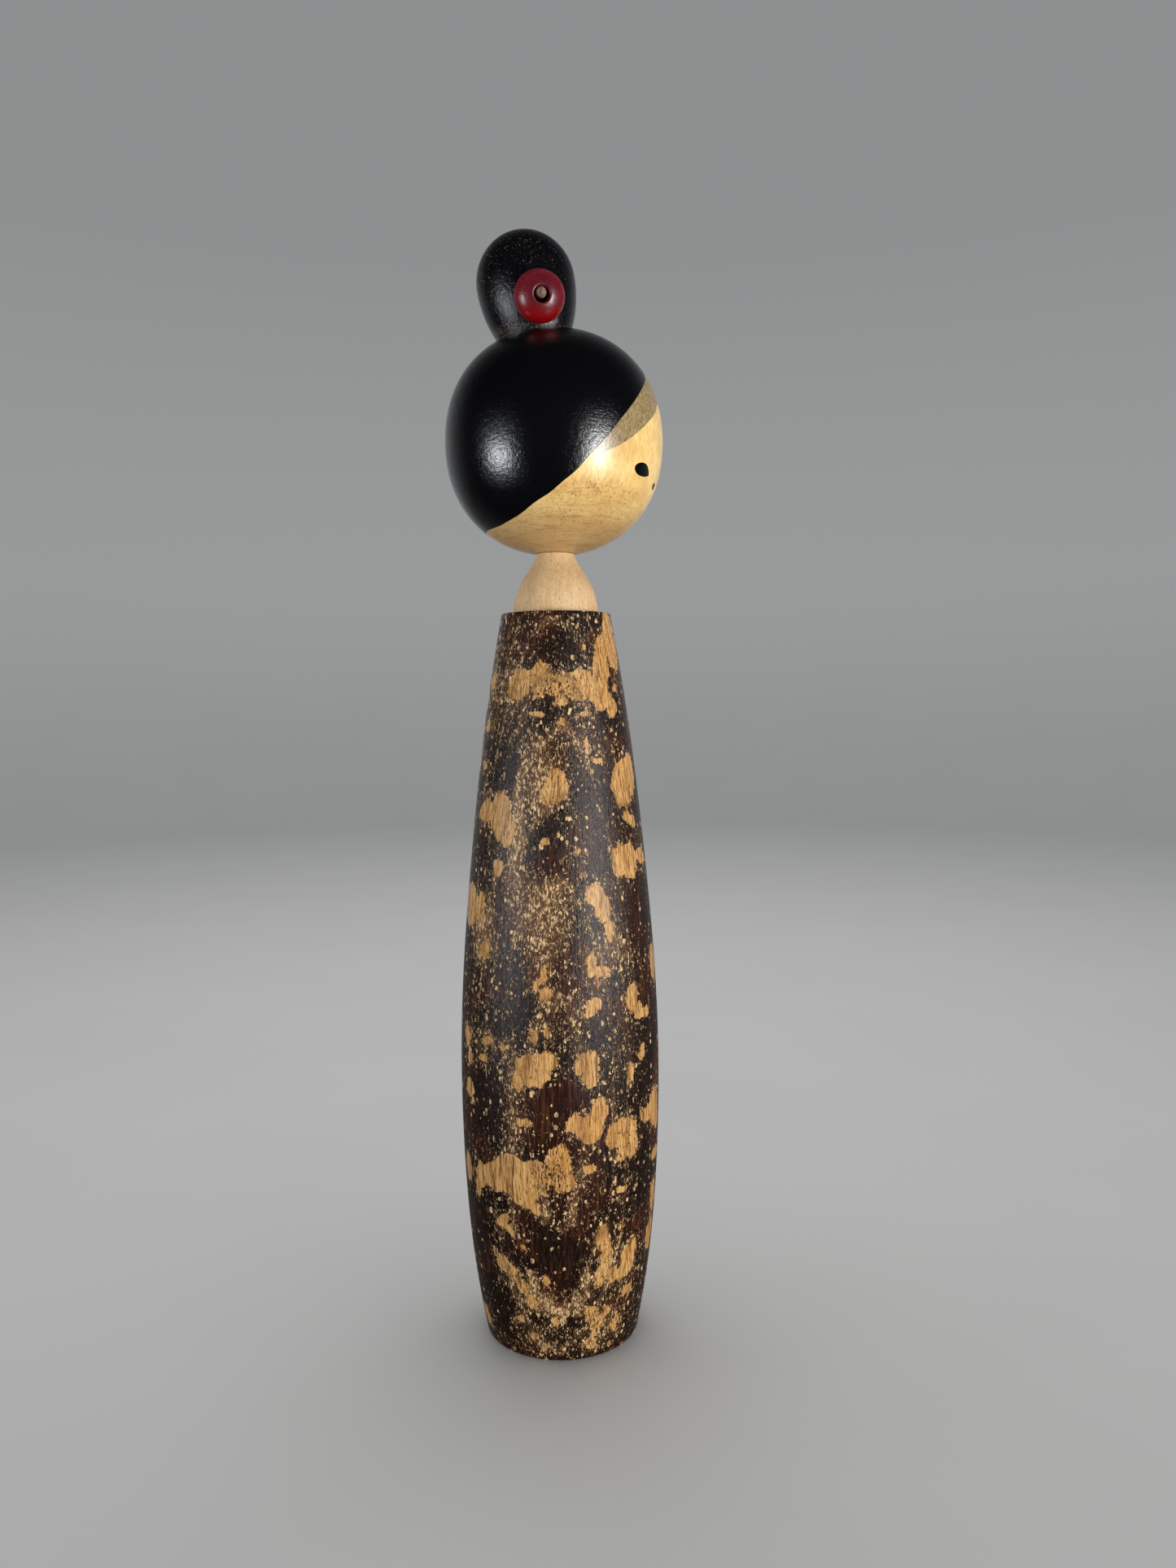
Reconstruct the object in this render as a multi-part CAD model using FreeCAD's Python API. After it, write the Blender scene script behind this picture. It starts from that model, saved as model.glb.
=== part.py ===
import FreeCAD, Part
import math
import os

# A turned-wood kokeshi doll that stands on its base, in millimetres.
# The origin is the centre of the base, +Z is up, the face looks along -Y and the doll's right is -X.

Vector = FreeCAD.Vector
UP = Vector(0, 0, 1)
AXIS_FOOT = Vector(0, 0, 0)

# Fits, as radial or end clearances
GLUE_GAP = 0.03
RUNNING_GAP = 0.05
END_GAP = 0.5
DOWEL_CHAMFER = 0.5

# Body: a long barrel, widest a little over a third of the way up
BODY_HEIGHT = 190.5
BODY_SIDE = [(20.35, 0.8), (23.9, 23.0), (26.1, 57.0), (26.2, 78.0), (22.75, 128.5), (18.25, 166.0), (14.2, 190.1)]
BASE_RADIUS = 19.7
BODY_TOP_RADIUS = 13.8

# Neck: a bell-shaped collar with a tenon glued into the body
NECK_TOP = 206.0
NECK_SIDE = [(10.9, 190.5), (10.55, 194.3), (8.75, 199.0), (6.1, 203.1), (4.9, 205.7)]
NECK_TOP_FLAT = 4.6
TENON_RADIUS = 7.0
TENON_LENGTH = 16.0

# Head: a slightly square sphere, flat where it sits on the neck
HEAD_CENTRE = 233.93
HEAD_RADIUS = 28.0
HEAD_HALF_HEIGHT = 28.16
HEAD_SQUARENESS = 2.176
HEAD_OUTLINE_STEPS = 24

# Neck dowel: glued into the neck, the head turns on it
NECK_DOWEL_RADIUS = 3.0
NECK_DOWEL_IN_NECK = 19.0
NECK_DOWEL_IN_HEAD = 14.0

# Bun: an egg whose axis runs through the head's centre and leans to the back of the head
BUN_LEAN = 9.9
BUN_RADIUS = 12.7
BUN_WIDEST = 41.35
BUN_TOP = 54.6
BUN_FOOT = 24.0
BUN_FLANK_CURVE = 30.1
BUN_DOWEL_RADIUS = 2.5
BUN_DOWEL_IN_HEAD = 11.0
BUN_DOWEL_IN_BUN = 9.0

# Hair ornament: a bead on a peg, square to the bun's flank, on the right of the head
ORNAMENT_ALONG_BUN = 36.65
ORNAMENT_TURN = 65.2
ORNAMENT_DIP = 10.1
PEG_RADIUS = 1.35
PEG_IN_BUN = 7.0
PEG_PROUD = 7.2
PEG_CHAMFER = 0.25
BEAD_RADIUS = 6.3
BEAD_HALF_THICKNESS = 4.4
BEAD_HOLE_RADIUS = 1.95
BEAD_MOUTH_RADIUS = 2.4
BEAD_MOUTH_DEPTH = 0.5
BEAD_STANDOFF = 0.13
BEAD_DROP = BEAD_HOLE_RADIUS - PEG_RADIUS - 0.02


def at(radius, height):
    """A point of a half outline in the XZ plane."""
    return Vector(radius, 0, height)


def line(start, end):
    return Part.LineSegment(start, end).toShape()


def spline(points):
    curve = Part.BSplineCurve()
    curve.interpolate(points)
    return curve.toShape()


def rounded(start, corner, end):
    """A soft edge from start to end, pulled towards the corner between them."""
    curve = Part.BezierCurve()
    curve.setPoles([start, corner, end])
    return curve.toShape()


def turned(edges):
    """The solid that a closed half outline makes when it is turned on the lathe."""
    solid = Part.Face(Part.Wire(edges)).revolve(AXIS_FOOT, UP, 360)
    return solid if solid.Volume > 0 else solid.reversed()


def rod(radius, low, high, chamfer=0.0):
    """A rod along Z from low to high, with both ends chamfered."""
    outline = [at(0, low), at(radius - chamfer, low), at(radius, low + chamfer)]
    outline += [at(radius, high - chamfer), at(radius - chamfer, high), at(0, high), at(0, low)]
    corners = [a for a, b in zip(outline, outline[1:]) if a != b]
    return turned([line(a, b) for a, b in zip(corners, corners[1:] + corners[:1])])


def make_body():
    side = [at(*p) for p in BODY_SIDE]
    foot = [at(0, 0), at(BASE_RADIUS, 0)]
    top = [at(BODY_TOP_RADIUS, BODY_HEIGHT), at(0, BODY_HEIGHT)]
    shell = turned([
        line(*foot),
        rounded(foot[1], at(side[0].x - 0.15, 0), side[0]),
        spline(side),
        rounded(side[-1], at(side[-1].x - 0.05, BODY_HEIGHT), top[0]),
        line(*top),
        line(top[1], foot[0]),
    ])
    mortise_floor = BODY_HEIGHT - TENON_LENGTH - END_GAP
    return shell.cut(rod(TENON_RADIUS + GLUE_GAP, mortise_floor, BODY_HEIGHT + 1))


def make_neck():
    side = [at(*p) for p in NECK_SIDE]
    tenon_end = BODY_HEIGHT - TENON_LENGTH
    corners = [at(0, tenon_end), at(TENON_RADIUS, tenon_end), at(TENON_RADIUS, BODY_HEIGHT), side[0]]
    top = [at(NECK_TOP_FLAT, NECK_TOP), at(0, NECK_TOP)]
    collar = turned([
        *[line(a, b) for a, b in zip(corners, corners[1:])],
        spline(side),
        rounded(side[-1], at(side[-1].x, NECK_TOP), top[0]),
        line(*top),
        line(top[1], corners[0]),
    ])
    socket_floor = NECK_TOP - NECK_DOWEL_IN_NECK - END_GAP
    return collar.cut(rod(NECK_DOWEL_RADIUS + GLUE_GAP, socket_floor, NECK_TOP + 1))


def make_neck_dowel():
    low = NECK_TOP - NECK_DOWEL_IN_NECK
    return rod(NECK_DOWEL_RADIUS, low, NECK_TOP + NECK_DOWEL_IN_HEAD, DOWEL_CHAMFER)


def superellipse(radius, half_height, low):
    """Points of the head's outline from the height low, measured from its centre, to its pole."""
    power = 2 / HEAD_SQUARENESS
    first = math.asin(-((-low / half_height) ** (1 / power)))
    points = []
    for step in range(HEAD_OUTLINE_STEPS + 1):
        angle = first + (math.pi / 2 - first) * step / HEAD_OUTLINE_STEPS
        height = math.copysign(abs(math.sin(angle)) ** power, angle) * half_height
        points.append(at(radius * max(0.0, math.cos(angle)) ** power, height))
    points[-1].x = 0
    return points


def head_blank(skin=0.0):
    """The head before boring, centred on the origin, with its surface moved out by skin."""
    low = NECK_TOP - HEAD_CENTRE
    side = superellipse(HEAD_RADIUS + skin, HEAD_HALF_HEIGHT + skin, low)
    return turned([line(at(0, low), side[0]), spline(side), line(side[-1], at(0, low))])


def lean(shape):
    """Moves a shape from an upright axis onto the bun's axis, about the head's centre."""
    shape.rotate(AXIS_FOOT, Vector(1, 0, 0), -BUN_LEAN)
    return shape


def onto_head(shape):
    """Lifts a shape from the head's own centre to its place on the doll."""
    shape.translate(Vector(0, 0, HEAD_CENTRE))
    return shape


def make_head():
    low = NECK_TOP - HEAD_CENTRE
    head = head_blank()
    head = head.cut(rod(NECK_DOWEL_RADIUS + RUNNING_GAP, low - 1, low + NECK_DOWEL_IN_HEAD + END_GAP))
    socket_floor = HEAD_RADIUS - BUN_DOWEL_IN_HEAD - END_GAP
    head = head.cut(lean(rod(BUN_DOWEL_RADIUS + GLUE_GAP, socket_floor, HEAD_RADIUS + 2)))
    return onto_head(head)


def bun_flank_radius(along):
    """The bun's radius at a distance from the head's centre, below its widest place."""
    return BUN_RADIUS - BUN_FLANK_CURVE + math.sqrt(BUN_FLANK_CURVE**2 - (BUN_WIDEST - along) ** 2)


def make_bun():
    foot = at(bun_flank_radius(BUN_FOOT), BUN_FOOT)
    middle = (BUN_FOOT + BUN_WIDEST) / 2
    widest = at(BUN_RADIUS, BUN_WIDEST)
    top = at(0, BUN_TOP)
    dome = Part.Ellipse(top, widest, at(0, BUN_WIDEST))
    egg = turned([
        line(at(0, BUN_FOOT), foot),
        Part.Arc(foot, at(bun_flank_radius(middle), middle), widest).toShape(),
        Part.ArcOfEllipse(dome, 0, math.pi / 2).toShape(),
        line(top, at(0, BUN_FOOT)),
    ])
    dowel_end = HEAD_RADIUS + BUN_DOWEL_IN_BUN
    bun = lean(egg.cut(rod(BUN_DOWEL_RADIUS + GLUE_GAP, BUN_FOOT - 1, dowel_end + END_GAP)))
    bun = bun.cut(head_blank(GLUE_GAP))
    return onto_head(bun.cut(place_ornament(rod(PEG_RADIUS + GLUE_GAP, -PEG_IN_BUN - END_GAP, 2))))


def make_bun_dowel():
    low = HEAD_RADIUS - BUN_DOWEL_IN_HEAD
    dowel = rod(BUN_DOWEL_RADIUS, low, HEAD_RADIUS + BUN_DOWEL_IN_BUN, DOWEL_CHAMFER)
    return onto_head(lean(dowel))


def ornament_direction():
    """The way the peg points: out of the bun, to the right of the face and a little down."""
    turn = math.radians(-90 - ORNAMENT_TURN)
    dip = math.radians(ORNAMENT_DIP)
    return Vector(math.cos(turn) * math.cos(dip), math.sin(turn) * math.cos(dip), -math.sin(dip))


def ornament_root():
    """Where the peg's axis leaves the bun's surface, from the head's centre."""
    bun_axis = Vector(0, math.sin(math.radians(BUN_LEAN)), math.cos(math.radians(BUN_LEAN)))
    start = bun_axis * ORNAMENT_ALONG_BUN
    direction = ornament_direction()
    reach = BUN_RADIUS
    for _ in range(20):
        point = start + direction * reach
        along = point.dot(bun_axis)
        reach += bun_flank_radius(along) - (point - bun_axis * along).Length
    return start + direction * reach


def place_ornament(shape, drop=0.0):
    """Moves a shape made along Z from z = 0 onto the peg's axis, lowered across that axis by drop."""
    direction = ornament_direction()
    down = (direction * direction.dot(UP) - UP).normalize()
    onto_axis = FreeCAD.Placement(ornament_root() + down * drop, FreeCAD.Rotation(UP, direction))
    shape.Placement = onto_axis * shape.Placement
    return shape


def make_ornament_peg():
    return onto_head(place_ornament(rod(PEG_RADIUS, -PEG_IN_BUN, PEG_PROUD, PEG_CHAMFER)))


def make_ornament_bead():
    """An oblate bead about its own middle, with softened hole mouths."""
    mouth_height = BEAD_HALF_THICKNESS * math.sqrt(1 - (BEAD_MOUTH_RADIUS / BEAD_RADIUS) ** 2)
    wall_height = mouth_height - BEAD_MOUTH_DEPTH
    ring = at(BEAD_RADIUS, 0)
    swell = Part.Ellipse(ring, at(0, BEAD_HALF_THICKNESS), at(0, 0))
    reach = math.acos(BEAD_MOUTH_RADIUS / BEAD_RADIUS)
    outer = Part.ArcOfEllipse(swell, -reach, reach).toShape()
    near, far = sorted((v.Point for v in outer.Vertexes), key=lambda p: p.z)
    wall = [at(BEAD_HOLE_RADIUS, -wall_height), at(BEAD_HOLE_RADIUS, wall_height)]
    bead = turned([
        line(*wall),
        rounded(wall[1], at(BEAD_HOLE_RADIUS, mouth_height), far),
        outer,
        rounded(near, at(BEAD_HOLE_RADIUS, -mouth_height), wall[0]),
    ])
    bead.translate(UP * (mouth_height + BEAD_STANDOFF))
    return onto_head(place_ornament(bead, BEAD_DROP))


PARTS = {
    "body": make_body,
    "neck": make_neck,
    "neck_dowel": make_neck_dowel,
    "head": make_head,
    "bun": make_bun,
    "bun_dowel": make_bun_dowel,
    "ornament_bead": make_ornament_bead,
    "ornament_peg": make_ornament_peg,
}

os.makedirs("parts", exist_ok=True)
for name, make in PARTS.items():
    shape = make()
    shape.exportStep(f"parts/{name}.step")
    size = shape.BoundBox
    print(f"{name}: volume {shape.Volume:.0f} mm3, z {size.ZMin:.2f} to {size.ZMax:.2f}, valid {shape.isValid()}")
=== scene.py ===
"""The looks of a turned-wood doll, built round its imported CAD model, in the model's own frame."""

import math

import bpy
import numpy as np
from mathutils import Matrix, Vector
from mathutils.geometry import convex_hull_2d


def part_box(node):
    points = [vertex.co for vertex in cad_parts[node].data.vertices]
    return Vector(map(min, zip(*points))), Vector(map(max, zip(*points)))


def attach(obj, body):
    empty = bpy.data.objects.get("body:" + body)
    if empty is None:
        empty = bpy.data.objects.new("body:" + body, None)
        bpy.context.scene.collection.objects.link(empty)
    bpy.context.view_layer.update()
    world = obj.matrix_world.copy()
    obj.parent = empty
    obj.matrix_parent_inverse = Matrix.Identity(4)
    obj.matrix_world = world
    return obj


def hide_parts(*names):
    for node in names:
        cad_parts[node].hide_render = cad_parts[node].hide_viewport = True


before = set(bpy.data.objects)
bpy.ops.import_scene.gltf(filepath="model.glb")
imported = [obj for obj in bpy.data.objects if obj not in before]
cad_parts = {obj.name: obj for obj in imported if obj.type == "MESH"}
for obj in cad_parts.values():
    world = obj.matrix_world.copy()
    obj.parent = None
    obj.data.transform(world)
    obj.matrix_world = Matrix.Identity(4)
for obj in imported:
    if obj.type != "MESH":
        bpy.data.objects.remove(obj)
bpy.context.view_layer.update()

MM = 0.001  # lengths below are in millimetres until a mesh, a light or a camera is made
FULL_TURN = 360.0

# Turns about the doll's axis are in degrees from the side that faces the camera, and grow towards the face.
SHOWN_SIDE = -167.0
FACE_TURN = 77.0

# The camera: its place, its tilt and roll in degrees, and its lens in millimetres
EYE = (-298.3, -77.1, 168.0)
LOOK_DOWN = 4.07
CAMERA_ROLL = -0.46
LENS = 26.9
SENSOR_WIDTH = 36.0
NEAREST_SEEN = 0.01

# Meshes: spacing along an outline, columns round it, and the bends that need closer points or a hard edge
BODY_STEP = 0.6
BODY_COLUMNS = 256
HEAD_STEP = 0.6
HEAD_COLUMNS = 288
EYE_POINTS = 72
MOUTH_POINTS = 48
BEND_STEP = math.radians(8)
CREASE = math.radians(40)

# Paint on the head. The wood stands back by WOOD_BELOW, so that the hair's lacquer ends level with the CAD
# head, and every film's edge reaches FILM_ROOT into the wood.
WOOD_BELOW = 0.06
FILM_THICKNESS = 0.12
FILM_EDGE = 0.5
FILM_ROOT = 0.02
EYE_THICKNESS = 0.05
MOUTH_THICKNESS = 0.04

# The stage, in metres from the doll
FLOOR_RINGS = (0.2, 0.5, 0.9, 1.3)
SWEEP_RADIUS = 0.4
SWEEP_STEPS = 12
WALL_TOP = 2.6
STAGE_COLUMNS = 96

# Soft upright lights, in metres from the doll's foot as the camera sees it:
# how far right and away, their low and high edges, width, then watts and tint
WINDOWS = {
    "right_window": (0.45, -0.39, 0.01, 0.26, 0.15, 3.0, (1.0, 0.985, 0.96)),
    "right_glow": (0.46, -0.40, -0.12, 0.36, 0.36, 1.2, (0.92, 0.95, 1.0)),
    "left_window": (-0.50, -0.32, 0.05, 0.20, 0.13, 1.6, (0.9, 0.94, 1.0)),
    "left_glow": (-0.51, -0.33, -0.10, 0.34, 0.34, 0.45, (0.84, 0.9, 1.0)),
}
# The light overhead: how far away and high, its size and its watts
CEILING = (0.25, 0.9, 0.8, 3.4)
WORLD_STRENGTH = 0.30

# A place on the head is a turn from the middle of the face and a level above the head's centre, in degrees.
# The hairline
HAIRLINE = [
    (0, 34.5), (11, 27.7), (22.5, 19.6), (31, 12), (41, 2), (50, -8.2), (58, -16.7), (64, -23.5),
    (70, -28.2), (78, -34.2), (87, -38.8), (98, -44.4), (117, -49.7), (154, -51.7), (180, -52),
]
# The lower edge of the fringe, which runs under the hair at its tips
FRINGE_EDGE = [
    (0, 17.5), (7, 12.8), (17, 6), (27, -1), (37, -7.8), (47, -13), (52, -14.5), (54.5, -13.5), (57, -11),
    (90, 40), (180, 60),
]
EYE_OUTLINE = [
    (-28.8, -19.2), (-26.8, -16.9), (-23, -15.9), (-19.4, -16.0), (-16.2, -17.4),
    (-13.2, -20.9), (-16.5, -22.2), (-21, -22.7), (-26.2, -21.8),
]
MOUTH = (0.0, -24.5)
MOUTH_HALF_SIZE = (3.1, 2.0)
# How far the wood's surface leans back at the fringe, in degrees
FRINGE_LEAN = 40
# Brown handling marks on the face: turn, level, half width and half height in degrees, strength
SMUDGES = [
    (-52, -31, 20, 4.5, 1.0), (-66, -34, 12, 5, 0.8), (-26, -33, 9, 3, 1.0), (-38, -37, 10, 3, 0.6),
    (-70, -47, 16, 4, 0.7), (-50, -52, 22, 4, 0.5), (-88, -55, 16, 3, 0.8), (60, -34, 26, 5, 0.7),
    (40, -48, 22, 5, 0.5), (150, -58, 60, 5, 0.5),
]

# The bun's worn crown: its turn, its distance from the axis and its depth below the top
WEAR_TURN = -30.0
WEAR_REACH = 9.0
WEAR_DEPTH = 9.0
# How high the scuffs reach up the bun's foot, and up to where they are at their strongest
SCUFF_TOP = 4.5
SCUFF_FULL = 1.5

# The bead: the share of its height that is painted bright red, above which a darker crimson is a painted
# reflection of its pale surroundings, half the depth over which the two meet, and how far the grime spreads
# from its middle
BEAD_REFLECTION_LINE = 0.24
BEAD_REFLECTION_SOFTNESS = 1.2
BEAD_GRIME = 6.5


# ---------------------------------------------------------------- reading the frame


def node_points(name):
    """A CAD node's vertices in millimetres."""
    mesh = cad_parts[name].data
    points = np.empty(len(mesh.vertices) * 3, np.float32)
    mesh.vertices.foreach_get("co", points)
    return points.reshape(-1, 3).astype(float) / MM


def box_of(name):
    """The low and high corners of a CAD node's box in millimetres, and its middle."""
    low, high = (np.array(corner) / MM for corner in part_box(name))
    return low, high, (low + high) / 2


def half_section(points):
    """(radius, height) of each point about the doll's axis."""
    return np.column_stack((np.hypot(points[:, 0], points[:, 1]), points[:, 2]))


def outer_outline(section):
    """The convex outline of a turned piece, from the foot of its axis round to the top."""
    low, high = section[:, 1].min(), section[:, 1].max()
    both = np.vstack((section, [(0, low), (0, high)]))
    ring = [both[i] for i in convex_hull_2d([tuple(p) for p in both])]
    start = min(range(len(ring)), key=lambda i: (ring[i][0] > 1e-9, ring[i][1]))
    ring = ring[start:] + ring[:start]
    if ring[1][0] < 1e-9:
        ring = [ring[0]] + ring[:0:-1]
    return np.array(ring)


def bore_of(section, mouth):
    """The radius of the bore on the axis whose mouth is at the height mouth, and the height of its end."""
    at_mouth = section[np.abs(section[:, 1] - mouth) < 1e-3]
    radius = at_mouth[:, 0].min()
    wall = section[np.abs(section[:, 0] - radius) < 1e-3]
    return radius, wall[np.argmax(np.abs(wall[:, 1] - mouth)), 1]


def respaced(outline, step):
    """Points along a convex outline, about step apart, and closer where it bends."""
    runs = np.diff(outline, axis=0)
    lengths = np.hypot(runs[:, 0], runs[:, 1])
    headings = np.unwrap(np.arctan2(runs[:, 1], runs[:, 0]))
    measure = np.zeros(2 * len(runs))
    measure[1::2] = lengths / step
    measure[2::2] = np.abs(np.diff(headings)) / BEND_STEP
    measure = np.cumsum(measure)
    doubled = np.repeat(outline, 2, axis=0)[1:-1]
    marks = np.linspace(0, measure[-1], round(measure[-1]) + 1)
    points = np.column_stack([np.interp(marks, measure, doubled[:, k]) for k in (0, 1)])
    apart = np.hypot(*np.diff(points, axis=0).T) > 1e-4
    return points[np.concatenate(([True], apart))]


# ---------------------------------------------------------------- meshes


def add_piece(name, points, faces, body, material, values=None):
    """A mesh piece from points in millimetres, with any named value per point, that rides on a body."""
    mesh = bpy.data.meshes.new(name)
    mesh.from_pydata((np.asarray(points) * MM).tolist(), [], faces)
    mesh.materials.append(material)
    for key, value in (values or {}).items():
        attribute = mesh.attributes.new(key, "FLOAT", "POINT")
        attribute.data.foreach_set("value", np.asarray(value, np.float32))
    mesh.shade_smooth()
    mesh.set_sharp_from_angle(angle=CREASE)
    piece = bpy.data.objects.new(name, mesh)
    bpy.context.scene.collection.objects.link(piece)
    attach(piece, body)
    return piece


def ring_faces(rings, columns, first_pole=None, last_pole=None):
    """Faces of a grid of closed rings, with an optional point to close it at each end."""
    faces = []
    for i in range(rings - 1):
        for j in range(columns):
            k = (j + 1) % columns
            faces.append((i * columns + j, i * columns + k, (i + 1) * columns + k, (i + 1) * columns + j))
    last = (rings - 1) * columns
    for j in range(columns):
        k = (j + 1) % columns
        if first_pole is not None:
            faces.append((first_pole, k, j))
        if last_pole is not None:
            faces.append((last_pole, last + j, last + k))
    return faces


def turned(outline, columns):
    """Points and faces of a solid turned from an outline that starts and ends on the axis."""
    angles = np.arange(columns) * 2 * math.pi / columns
    radii, heights = outline[1:-1, 0], outline[1:-1, 1]
    x = np.outer(radii, np.cos(angles))
    y = np.outer(radii, np.sin(angles))
    z = np.repeat(heights, columns).reshape(x.shape)
    rings = np.stack((x, y, z), -1).reshape(-1, 3)
    poles = [(0, 0, outline[0, 1]), (0, 0, outline[-1, 1])]
    faces = ring_faces(len(radii), columns, len(rings), len(rings) + 1)
    return np.vstack((rings, poles)), faces


# ---------------------------------------------------------------- fields painted on the surface


def wrapped(turn):
    """An angle in degrees brought to between -180 and 180."""
    return (turn + FULL_TURN / 2) % FULL_TURN - FULL_TURN / 2


def turn_of(points, middle=SHOWN_SIDE):
    """Each point's turn about the doll's axis, in degrees from middle."""
    return wrapped(np.degrees(np.arctan2(points[:, 1], points[:, 0])) - middle)


def reach_of(turn, level, radius, dab, level_size=1.0):
    """How far out each place is from a dab's centre, 1 on its edge, and the way back to millimetres."""
    middle, height, half_turn, half_level, slope = dab
    across = np.radians(wrapped(turn - middle)) * radius
    half_width = math.radians(half_turn) * radius
    half_height = half_level * level_size
    up = (level - height) * level_size - slope * across
    reach = np.hypot(across / half_width, up / half_height)
    steepness = np.hypot(across / half_width**2, up / half_height**2)
    return reach, reach / np.maximum(steepness, 1e-6)


def dab_distance(turn, level, radius, dabs, level_size=1.0):
    """Millimetres to the nearest dab's edge, negative inside it."""
    nearest = np.full(len(turn), 20.0)
    for dab in dabs:
        reach, scale = reach_of(turn, level, radius, dab, level_size)
        nearest = np.minimum(nearest, (reach - 1) * scale)
    return nearest


def zone_value(turn, level, radius, zones, floor, level_size=1.0):
    """A soft-edged value from the strongest zone at each place, and floor away from them."""
    value = np.full(len(turn), floor)
    for *dab, strength in zones:
        reach, _ = reach_of(turn, level, radius, (*dab, 0.0), level_size)
        value = np.maximum(value, floor + (strength - floor) * np.exp(-(reach**3)))
    return value


def smooth_curve(places, points):
    """A smooth curve's value at each place, through points given as (place, value)."""
    knots, values = np.array(points, float).T
    slopes = np.gradient(values, knots)
    slopes[0] = slopes[-1] = 0.0
    i = np.clip(np.searchsorted(knots, places) - 1, 0, len(knots) - 2)
    span = knots[i + 1] - knots[i]
    t = (places - knots[i]) / span
    start, end = values[i], values[i + 1]
    rise = t * t * (3 - 2 * t)
    ease_out = t * (1 - t) ** 2 * span * slopes[i]
    ease_in = t * t * (t - 1) * span * slopes[i + 1]
    return start + (end - start) * rise + ease_out + ease_in


# ---------------------------------------------------------------- material nodes


class Nodes:
    """A tree's nodes, in a material or in the world. Every input may be a socket or a constant."""

    def __init__(self, tree):
        self.tree = tree

    def feed(self, socket, value):
        """Links a socket to an input, or sets the input to a constant."""
        if isinstance(value, bpy.types.NodeSocket):
            self.tree.links.new(value, socket)
        else:
            socket.default_value = value

    def node(self, kind, inputs, **settings):
        """Adds a node with its settings and the values of its inputs."""
        made = self.tree.nodes.new(kind)
        for key, value in settings.items():
            setattr(made, key, value)
        for key, value in inputs.items():
            self.feed(made.inputs[key], value)
        return made

    def math(self, operation, a, b=0.0, c=0.0):
        return self.node("ShaderNodeMath", {0: a, 1: b, 2: c}, operation=operation).outputs[0]

    def times(self, a, b):
        return self.math("MULTIPLY", a, b)

    def plus(self, a, b):
        return self.math("ADD", a, b)

    def minus(self, a, b):
        return self.math("SUBTRACT", a, b)

    def most(self, *values):
        """The largest of several values."""
        largest = values[0]
        for value in values[1:]:
            largest = self.math("MAXIMUM", largest, value)
        return largest

    def ramp(self, value, low, high, to_low=0.0, to_high=1.0):
        """Carries value smoothly from to_low at low to to_high at high."""
        inputs = {"Value": value, "From Min": low, "From Max": high, "To Min": to_low, "To Max": to_high}
        return self.node("ShaderNodeMapRange", inputs, interpolation_type="SMOOTHSTEP").outputs[0]

    def mix(self, share, a, b):
        """Colour a, turning to colour b as share goes from 0 to 1."""
        inputs = {0: share, 6: a, 7: b}
        return self.node("ShaderNodeMix", inputs, data_type="RGBA").outputs[2]

    def along(self, direction, axis):
        """How far a direction or a place reaches along an axis."""
        inputs = {0: direction, 1: tuple(axis)}
        return self.node("ShaderNodeVectorMath", inputs, operation="DOT_PRODUCT").outputs["Value"]

    def distance(self, place, middle):
        """How far a place is from a fixed middle."""
        inputs = {0: place, 1: tuple(float(v) for v in middle)}
        return self.node("ShaderNodeVectorMath", inputs, operation="DISTANCE").outputs["Value"]


class Shader(Nodes):
    """One material, with its own Principled surface."""

    def __init__(self, name):
        self.material = bpy.data.materials.new(name)
        self.material.use_nodes = True
        super().__init__(self.material.node_tree)
        self.surface = self.tree.nodes["Principled BSDF"]

    def place(self, stretch=(1.0, 1.0, 1.0), shift=(0.0, 0.0, 0.0)):
        """The place on the object in millimetres, scaled by stretch."""
        if not hasattr(self, "coordinates"):
            self.coordinates = self.node("ShaderNodeTexCoord", {}).outputs["Object"]
        scale = tuple(s / MM for s in stretch)
        inputs = {0: self.coordinates, 1: scale, 2: shift}
        return self.node("ShaderNodeVectorMath", inputs, operation="MULTIPLY_ADD").outputs[0]

    def height(self):
        """The height on the object in millimetres."""
        return self.along(self.place(), (0, 0, 1))

    def noise(self, place, scale, detail=2.0, roughness=0.5):
        """Soft random patches between 0 and 1."""
        inputs = {"Vector": place, "Scale": scale, "Detail": detail, "Roughness": roughness}
        return self.node("ShaderNodeTexNoise", inputs).outputs["Fac"]

    def cells(self, place, scale):
        """Distance to the nearest of scattered points, and two random values for each of them."""
        made = self.node("ShaderNodeTexVoronoi", {"Vector": place, "Scale": scale})
        split = self.node("ShaderNodeSeparateColor", {0: made.outputs["Color"]})
        return made.outputs["Distance"], split.outputs[0], split.outputs[1]

    def value(self, name):
        """A value painted on the mesh's points."""
        return self.node("ShaderNodeAttribute", {}, attribute_name=name).outputs["Fac"]

    def dots(self, place, scale, density, smallest, largest, ragged=0.25):
        """Scattered specks. Density is the share of the scattered points that show one."""
        distance, size, chance = self.cells(place, scale)
        edge = self.math("MULTIPLY_ADD", self.math("POWER", size, 1.5), largest - smallest, smallest)
        rough = self.math("MULTIPLY_ADD", self.noise(place, scale * 3.5, 1.0), ragged, -ragged / 2)
        inside = self.minus(edge, self.plus(distance, rough))
        shown = self.math("LESS_THAN", chance, density)
        return self.times(self.ramp(inside, -0.04, 0.06), shown)

    def bump(self, height, depth):
        """Relief in the surface: height 1 stands depth millimetres above height 0."""
        inputs = {"Height": height, "Distance": depth * MM, "Strength": 1.0}
        self.feed(self.surface.inputs["Normal"], self.node("ShaderNodeBump", inputs).outputs[0])

    def finish(self, colour, roughness, specular=0.5):
        """Feeds the surface and hands over the material."""
        self.feed(self.surface.inputs["Base Color"], colour)
        self.feed(self.surface.inputs["Roughness"], roughness)
        self.feed(self.surface.inputs["Specular IOR Level"], specular)
        return self.material


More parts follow.
